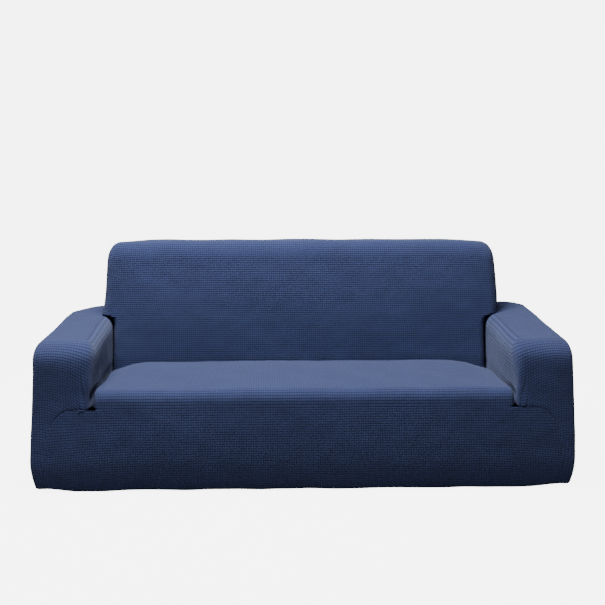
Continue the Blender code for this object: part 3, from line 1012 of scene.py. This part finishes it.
@dataclass
class ArmWrap(KnitPanel):
    """One arm's wrap: inner face, top, front and outer face down to the hem."""

    side: Side = Side.RIGHT
    rear_corner: float = 0.150
    rear_fullness: float = 1.5
    outer_fullness: float = 5.0
    rear_round: float = 0.030
    inner_end: float = 0.165
    rim_steps: int = 9
    corner_steps: int = 9
    front_drop: float = 0.13
    arc_steps: int = 24
    seam_gap: float = 0.0003
    arch_apex: float = 0.34
    arch_growth: float = 0.13
    arch_power: float = 1.8
    arch_fan: float = 0.10
    brow_length: float = 0.079

    def rim(self, spot: Array, core: Array) -> Array:
        """The round top edge over a run of the wall.

        Args:
            spot: Plan places of the wall.
            core: Plan places where the flat top starts.

        Returns:
            A grid of points, from the wall up to the flat top.
        """
        turn = np.linspace(0, pi / 2, self.rim_steps + 1)
        share = (1 - np.cos(turn))[None, :, None]
        plan = spot[:, None] * (1 - share) + core[:, None] * share
        return joined(plan[..., 0], plan[..., 1], FORM.eave + FORM.eave_round * np.sin(turn))

    def wall(self, spot: Array, levels: Array) -> Array:
        """An upright run of the wall.

        Args:
            spot: Plan places of the wall.
            levels: Heights of its rows, or one list of them for each place.

        Returns:
            The grid of points.
        """
        return joined(spot[:, :1], spot[:, 1:], levels)

    def side_patches(
        self, spot: Array, core: Array, levels: Array, x: Array, start: float
    ) -> list[Patch]:
        """The rim and the wall along one side of the arm, with rows level all round.

        Args:
            spot: Plan places of the wall.
            core: Plan places where the flat top starts.
            levels: Heights of the wall's rows from the eave down.
            x: Each place's distance across the cloth, unrolled from the arm front.
            start: Grain at the eave.

        Returns:
            The rim and the wall.
        """
        rim = self.rim(spot, core)[:, ::-1]
        down = run_length(rim, 1)
        level = FORM.eave + down[:, -1:] - down
        wall = FORM.squared_edge(self.wall(spot, levels))
        return [
            Patch(rim, self.front_grain(x[:, None], level, start)),
            Patch(wall, self.front_grain(x[:, None], wall[..., 2], start)),
        ]

    def patches(self) -> list[Patch]:
        """Works out the wrap of the right arm and turns it over for the left one.

        Returns:
            The patches, which meet edge to edge.
        """
        f, seam = FORM, FrontSeam()
        core_in, core_out = f.arm_inner + f.inner_round, f.arm_outer - f.outer_round
        core_y = f.front + f.front_round
        x_top = np.linspace(core_in, core_out, seam.top_steps + 1)
        brow_rim = self.rim(joined(x_top, f.front), joined(x_top, core_y))[:, ::-1]
        brow_down = run_length(brow_rim, 1)
        start = brow_down[0, -1] - core_y

        y_in = steps(self.inner_end, core_y, self.spacing)
        turn = np.linspace(0, pi / 2, self.corner_steps + 1)
        bend = joined(core_in - f.inner_round * np.cos(turn), core_y - f.front_round * np.sin(turn))
        inner = np.concatenate([joined(f.arm_inner, y_in), bend[1:]])
        corner = [[core_in, core_y]] * self.corner_steps
        inner_core = np.concatenate([joined(core_in, y_in), corner])
        front_rows = int(np.ceil((f.eave - f.notch_floor) / self.spacing))
        share = np.linspace(1, 0, front_rows + 1)
        foot = np.full(len(inner), f.tuck_bottom)
        foot[len(y_in) :] -= f.notch_drop * turn[1:] / (pi / 2)
        levels = foot[:, None] + (f.eave - foot)[:, None] * share
        run_in = run_length(inner)
        brow_z = f.eave + brow_down[:, -1:] - brow_down
        made = [Patch(brow_rim, self.front_grain(x_top[:, None], brow_z, start))]
        made += self.side_patches(inner, inner_core, levels, core_in - run_in[-1] + run_in, start)

        z_side = np.linspace(f.eave, f.hem_roll, seam.side_steps + 1)
        outline = np.concatenate([joined(x_top, f.eave), joined(core_out, z_side)[1:]])
        low = seam.points()
        toward = np.linspace(0, 1, front_rows + 1)[None, :, None]
        plane = low[:, None] * (1 - toward) + outline[:, None] * toward
        front = joined(plane[..., 0], f.front, plane[..., 1])
        made.append(Patch(front, self.front_grain(plane[..., 0], plane[..., 1], start)))

        y_out = steps(core_y, f.rear - self.rear_corner, self.spacing)
        y_out = np.sort(np.unique(np.append(y_out[y_out > self.inner_end], y_in)))
        square = np.sin(turn) ** (2 / self.outer_fullness)
        bend_out = joined(core_out + f.outer_round * square, core_y - f.front_round * square[::-1])
        arc = np.linspace(0, pi / 2, self.arc_steps)
        reach_y = np.sin(arc) ** (2 / self.rear_fullness)
        reach_x, reach_y = reach_y[::-1][1:], reach_y[1:]
        arc_x, arc_y = f.arm_outer - self.rear_corner, f.rear - self.rear_corner
        rear_reach = (self.rear_corner - f.outer_round, self.rear_corner - self.rear_round)
        arc_spot = joined(arc_x + self.rear_corner * reach_x, arc_y + self.rear_corner * reach_y)
        arc_core = joined(arc_x + rear_reach[0] * reach_x, arc_y + rear_reach[1] * reach_y)
        seam_x = f.back_seam_side + self.seam_gap
        x_rear = np.linspace(arc_x, seam_x, seam.top_steps + 1)[1:]
        rear_y, side_core = f.rear - self.rear_round, joined(core_out, y_out)
        side_spot = joined(f.arm_outer, y_out)[1:]
        outer = np.concatenate([bend_out, side_spot, arc_spot, joined(x_rear, f.rear)])
        corner = [[core_out, core_y]] * len(bend_out)
        outer_core = np.concatenate([corner, side_core[1:], arc_core, joined(x_rear, rear_y)])
        x_out = core_out + run_length(outer)
        made += self.side_patches(outer, outer_core, z_side, x_out, start)
        side_wall = made[-1]

        right = np.concatenate([side_core, arc_core])
        past = np.clip((right[:, 1] - self.inner_end) / (rear_y - self.inner_end), 0, 1)
        left = joined(core_in + (seam_x - core_in) * past, right[:, 1])
        shares = np.linspace(0, 1, seam.top_steps + 1)[None, :, None]
        cap = left[:, None] * (1 - shares) + right[:, None] * shares
        made.append(Patch(joined(cap[..., 0], cap[..., 1], f.arm_top), cap * (1, -1)))

        inward, lift = f.hem()
        lip = front[-1, :, [0, 1]].T
        lip_core = joined(lip[:, 0], core_y)
        for spot, core, foot_grain in (
            (outer, outer_core, side_wall.grain[:, -1]),
            (lip, lip_core, self.front_grain(lip[:, 0], f.hem_roll, start)),
        ):
            way = core - spot
            way = way / np.linalg.norm(way, axis=-1, keepdims=True)
            plan = spot[:, None] + way[:, None] * inward[None, :, None]
            turned = joined(plan[..., 0], plan[..., 1], lift)
            down = foot_grain[:, 1:] + run_length(turned, 1)
            made.append(Patch(turned, joined(foot_grain[:, :1], down)))
        made = [p.shaped(f.arm_front) for p in made]
        if self.side is Side.LEFT:
            made = [p.mirrored() for p in made]
        return [p.shaped(f.drawn_in) for p in made]

    def front_grain(self, x: Array, z: Array | float, start: float) -> Array:
        """Grain of the arm's upright faces, whose rows arch over and fall towards the notch.

        Args:
            x: Distance across the cloth, which is x on the front itself.
            z: Height.
            start: Grain along the cloth at the eave.

        Returns:
            The grain.
        """
        f = FORM
        width = f.arm_outer - f.arm_inner
        depth = f.eave - z
        deep = np.clip(depth + self.brow_length, 0, None)
        share = np.clip((f.arm_outer - x) / width, 0.0, 1.1)
        apex = self.arch_apex * (1 - np.clip(deep / f.arm_top, 0, 1))
        inside = np.clip(share - apex, 0, None)
        outside = np.clip(apex - share, 0, None)
        grown = 1 - np.exp(-deep / self.arch_growth)
        drop = self.front_drop * (inside**self.arch_power + outside**self.arch_power) * grown
        fanned = x - self.arch_fan * (outside - inside) * deep * grown
        return joined(fanned, start + depth - drop)


# --------------------------------------------------------------------------- the knit


@dataclass
class NodeSheet:
    """Writes nodes into a tree, with sockets or plain numbers as inputs."""

    tree: bpy.types.NodeTree

    def add(self, kind: str, inputs: dict[str | int, Any], **settings: Any) -> bpy.types.Node:
        """Adds a node.

        Args:
            kind: Its type.
            inputs: What goes into its inputs, by name or number.
            settings: Its other properties.

        Returns:
            The node.
        """
        node = self.tree.nodes.new(kind)
        for name, value in settings.items():
            setattr(node, name, value)
        for name, value in inputs.items():
            if isinstance(value, bpy.types.NodeSocket):
                self.tree.links.new(value, node.inputs[name])
            else:
                node.inputs[name].default_value = value
        return node

    def math(self, operation: str, *values: Value) -> bpy.types.NodeSocket:
        """Adds a math node.

        Args:
            operation: What it does.
            values: Its inputs, in order.

        Returns:
            Its result.
        """
        return self.add("ShaderNodeMath", dict(enumerate(values)), operation=operation).outputs[0]

    def between(
        self, value: Value, low: float, high: float, to_low: float, to_high: float
    ) -> bpy.types.NodeSocket:
        """Maps a range smoothly onto another.

        Args:
            value: What is mapped.
            low: Where the range starts.
            high: Where it ends.
            to_low: Result at its start.
            to_high: Result at its end.

        Returns:
            The mapped value.
        """
        names = ("Value", "From Min", "From Max", "To Min", "To Max")
        inputs = dict(zip(names, (value, low, high, to_low, to_high)))
        node = self.add("ShaderNodeMapRange", inputs, interpolation_type="SMOOTHSTEP")
        return node.outputs["Result"]

    def noise(
        self,
        place: bpy.types.NodeSocket,
        scale: float,
        detail: float = 2.0,
        roughness: float = 0.5,
    ) -> bpy.types.Node:
        """Adds a noise texture.

        Args:
            place: Where it is read.
            scale: How fine it is.
            detail: How many finer layers it has.
            roughness: How much they count.

        Returns:
            The texture node.
        """
        inputs = {"Vector": place, "Scale": scale, "Detail": detail, "Roughness": roughness}
        return self.add("ShaderNodeTexNoise", inputs)


@dataclass(frozen=True)
class WaffleWeave:
    """The knit's relief: small puffed squares in rows, with fine ribs of yarn."""

    cell: float = 0.0078
    rib: float = 0.0013
    wander: float = 0.0004
    drift_scale: float = 28.0
    fuzz_scale: float = 1800.0
    tone_scale: float = 9.0
    puff_across: float = 0.28
    puff_along: float = 0.34
    puff_share: float = 0.78
    yarn_share: float = 0.16
    fuzz_share: float = 0.10
    yarn_slant: float = 0.8
    name: str = "waffle knit"

    def group(self) -> bpy.types.NodeTree:
        """Builds the node group, or finds it if it is there.

        Returns:
            The group, with Height, Groove, Yarn and Tone outputs; Groove marks where the knit's
            finish paints shade between the puffs.
        """
        if self.name in bpy.data.node_groups:
            return bpy.data.node_groups[self.name]
        tree = bpy.data.node_groups.new(self.name, "ShaderNodeTree")
        sockets = tree.interface
        for label, value in (("Cell", self.cell), ("Rib", self.rib)):
            socket = sockets.new_socket(label, in_out="INPUT", socket_type="NodeSocketFloat")
            socket.default_value = value
        sockets.new_socket("Grain", in_out="INPUT", socket_type="NodeSocketVector")
        for label in ("Height", "Groove", "Yarn", "Tone"):
            sockets.new_socket(label, in_out="OUTPUT", socket_type="NodeSocketFloat")
        sheet = NodeSheet(tree)
        entry = tree.nodes.new("NodeGroupInput").outputs
        grain = entry["Grain"]
        drift = sheet.noise(grain, self.drift_scale).outputs["Color"]
        shift = sheet.add(
            "ShaderNodeVectorMath", {0: drift, 1: (0.5, 0.5, 0.5)}, operation="SUBTRACT"
        )
        moved = sheet.add(
            "ShaderNodeVectorMath",
            {0: shift.outputs[0], 1: (self.wander * 3,) * 3, 2: grain},
            operation="MULTIPLY_ADD",
        )
        parts = sheet.add("ShaderNodeSeparateXYZ", {0: moved.outputs[0]}).outputs
        puffs = []
        for part, width in ((parts[0], self.puff_across), (parts[1], self.puff_along)):
            turns = sheet.math("DIVIDE", part, entry["Cell"])
            saw = sheet.math("PINGPONG", turns, 0.5)
            puffs.append(sheet.between(saw, 0.02, width, 0.0, 1.0))
        across, rows = puffs
        puff = sheet.math("MULTIPLY", sheet.between(across, 0.0, 1.0, 0.25, 1.0), rows)
        turns = sheet.math("DIVIDE", parts[1], entry["Rib"])
        zigzag = sheet.math("PINGPONG", sheet.math("DIVIDE", parts[0], entry["Rib"]), 0.5)
        slanted = sheet.math("ADD", turns, sheet.math("MULTIPLY", zigzag, self.yarn_slant))
        yarn = sheet.math("MULTIPLY", sheet.math("PINGPONG", slanted, 0.5), 2.0)
        fuzz = sheet.noise(grain, self.fuzz_scale).outputs["Fac"]
        height = sheet.math("MULTIPLY", puff, self.puff_share)
        for part, share in ((yarn, self.yarn_share), (fuzz, self.fuzz_share)):
            height = sheet.math("ADD", height, sheet.math("MULTIPLY", part, share))
        broad = sheet.noise(grain, self.tone_scale, detail=4.0, roughness=0.6).outputs["Fac"]
        # Groove: the mask of the recesses between the puffs, where the finish paints shade.
        groove_shade = sheet.math("SUBTRACT", 1.0, puff)
        leave = {"Height": height, "Groove": groove_shade, "Yarn": yarn, "Tone": broad}
        sheet.add("NodeGroupOutput", leave)
        return tree


@dataclass(frozen=True)
class KnitFinish:
    """Navy stretch knit of one panel: its colour with painted shade in the weave's grooves, its nap
    and relief.
    """

    name: str
    navy: Triple = (0.017, 0.028, 0.094)
    # Painted shade: the darker navy painted into the weave's grooves.
    deep: Triple = (0.002, 0.005, 0.030)
    nap: Triple = (0.68, 0.75, 1.0)
    nap_weight: float = 0.115
    nap_roughness: float = 0.75
    shine: float = 0.12
    tone: Span = (0.93, 1.07)
    groove_shade: Span = (0.15, 0.95)
    roughness: Span = (0.95, 0.78)
    relief: float = 0.0010

    def material(self) -> bpy.types.Material:
        """Builds the material.

        Returns:
            The knit.
        """
        cloth = bpy.data.materials.new(self.name)
        cloth.use_nodes = True
        tree = cloth.node_tree
        tree.nodes.clear()
        sheet = NodeSheet(tree)
        grain = sheet.add("ShaderNodeUVMap", {}, uv_map="grain").outputs["UV"]
        weave = sheet.add("ShaderNodeGroup", {}, node_tree=WaffleWeave().group())
        tree.links.new(grain, weave.inputs["Grain"])
        out = weave.outputs
        pale = sheet.between(out["Tone"], 0.30, 0.70, *self.tone)
        # Painted shade: the weave's grooves are mixed towards the darker deep navy, so the puffs
        # stand out paler, as if lit.
        shade = sheet.between(out["Groove"], *self.groove_shade, 0.0, 1.0)
        colours = {"Factor": shade, 6: (*self.navy, 1.0), 7: (*self.deep, 1.0)}
        mixed = sheet.add("ShaderNodeMix", colours, data_type="RGBA")
        toned = sheet.add(
            "ShaderNodeHueSaturation", {"Color": mixed.outputs[2], "Value": pale}
        ).outputs["Color"]
        rough = sheet.between(out["Yarn"], 0.0, 1.0, *self.roughness)
        bump = sheet.add(
            "ShaderNodeBump", {"Height": out["Height"], "Strength": 1.0, "Distance": self.relief}
        ).outputs["Normal"]
        shader = sheet.add(
            "ShaderNodeBsdfPrincipled",
            {
                "Base Color": toned,
                "Roughness": rough,
                "Normal": bump,
                "Specular IOR Level": self.shine,
                "Sheen Weight": self.nap_weight,
                "Sheen Roughness": self.nap_roughness,
                "Sheen Tint": (*self.nap, 1.0),
            },
        )
        sheet.add("ShaderNodeOutputMaterial", {"Surface": shader.outputs["BSDF"]})
        return cloth


# --------------------------------------------------------------------------- the studio


@dataclass(frozen=True)
class SoftLight:
    """A soft square light: power in watts, place, side and what it points at."""

    name: str
    power: float
    place: Triple
    size: float
    target: Triple

    def hang(self) -> None:
        """Adds the light to the scene."""
        lamp = bpy.data.lights.new(self.name, "AREA")
        lamp.energy = self.power
        lamp.size = self.size
        light = bpy.data.objects.new(self.name, lamp)
        light.location = self.place
        aim = Vector(self.target) - Vector(self.place)
        light.rotation_euler = aim.to_track_quat("-Z", "Y").to_euler()
        bpy.context.scene.collection.objects.link(light)


@dataclass
class Studio:
    """Pale floor, white surround, soft lights and the camera."""

    floor_half: float = 9.0
    floor_drop: float = 0.0015
    floor_tone: Triple = (0.20, 0.20, 0.20)
    floor_grain: float = 3.0
    surround: float = 0.09
    backdrop: float = 6.0
    lights: tuple[SoftLight, ...] = (
        SoftLight("top light", 370.0, (-0.50, -0.72, 3.3), 2.0, (0.1, -0.20, 0.3)),
        SoftLight("front light", 3.0, (-0.9, -3.0, 2.9), 1.8, (0.0, 0.0, 0.5)),
        SoftLight("side light", 1.0, (3.6, -0.6, 2.2), 2.0, (-0.7, 0.0, 0.4)),
    )
    eye: Triple = (-0.114, -3.981, 1.208)
    yaw: float = 1.744
    lens: float = 65.45
    rise: float = -0.3008

    def build(self) -> None:
        """Builds the floor, the surround, the lights and the camera."""
        self.floor()
        self.world()
        for light in self.lights:
            light.hang()
        self.camera()

    def floor(self) -> None:
        """Lays the floor just under the hem."""
        half, z = self.floor_half, -self.floor_drop
        mesh = bpy.data.meshes.new("floor")
        corners = [(-half, -half, z), (half, -half, z), (half, half, z), (-half, half, z)]
        mesh.from_pydata(corners, [], [(0, 1, 2, 3)])
        floor = bpy.data.objects.new("floor", mesh)
        bpy.context.scene.collection.objects.link(floor)
        paint = bpy.data.materials.new("pale_floor")
        paint.use_nodes = True
        sheet = NodeSheet(paint.node_tree)
        place = sheet.add("ShaderNodeTexCoord", {}).outputs["Object"]
        grain = sheet.noise(place, self.floor_grain).outputs["Fac"]
        shader = paint.node_tree.nodes["Principled BSDF"]
        shader.inputs["Base Color"].default_value = (*self.floor_tone, 1.0)
        rough = sheet.between(grain, 0.3, 0.7, 0.75, 0.9)
        paint.node_tree.links.new(rough, shader.inputs["Roughness"])
        seen = sheet.add("ShaderNodeLightPath", {}).outputs["Is Camera Ray"]
        shown = sheet.between(seen, 0.0, 1.0, 0.0, self.backdrop)
        shader.inputs["Emission Color"].default_value = (1.0, 1.0, 1.0, 1.0)
        paint.node_tree.links.new(shown, shader.inputs["Emission Strength"])
        mesh.materials.append(paint)

    def world(self) -> None:
        """Lights the scene evenly from a white surround."""
        world = bpy.data.worlds.new("surround")
        world.use_nodes = True
        back = world.node_tree.nodes["Background"]
        sheet = NodeSheet(world.node_tree)
        seen = sheet.add("ShaderNodeLightPath", {}).outputs["Is Camera Ray"]
        back.inputs["Color"].default_value = (1.0, 1.0, 1.0, 1.0)
        strength = sheet.between(seen, 0.0, 1.0, self.surround, self.backdrop)
        world.node_tree.links.new(strength, back.inputs["Strength"])
        bpy.context.scene.world = world

    def camera(self) -> None:
        """Sets a level camera, a little above the sofa, with its view shifted down."""
        lens = bpy.data.cameras.new("camera")
        lens.lens = self.lens
        lens.sensor_width = 36.0
        lens.shift_y = self.rise
        camera = bpy.data.objects.new("camera", lens)
        camera.location = self.eye
        camera.rotation_euler = (pi / 2, 0.0, -radians(self.yaw))
        bpy.context.scene.collection.objects.link(camera)
        bpy.context.scene.camera = camera


def main() -> None:
    """Builds the five panels, dresses them and sets up the studio."""
    panels = [
        SeatAndFront("seat_and_front_cloth", "seat_and_front", "knit_seat", (1.66, 0.86)),
        InsideBack("inside_back_cloth", "inside_back", "knit_back", (1.60, 0.86), area=1.0),
        OuterBack("outer_back_cloth", "outer_back", "knit_back", (1.28, 0.63)),
        ArmWrap("arm_left_cloth", "arm_left", "knit_arms", (0.84, 0.84), side=Side.LEFT),
        ArmWrap("arm_right_cloth", "arm_right", "knit_arms", (0.84, 0.84), side=Side.RIGHT),
    ]
    knits = {
        "knit_seat": KnitFinish("navy_knit_seat").material(),
        "knit_back": KnitFinish("navy_knit_back").material(),
        "knit_arms": KnitFinish("navy_knit_arms").material(),
    }
    for panel in panels:
        piece = panel.build()
        panel.dress(knits[panel.slot])
        LOG.info("%s: %d faces", piece.name, len(piece.data.polygons))
    Studio().build()
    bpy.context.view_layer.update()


if __name__ == "__main__":
    main()
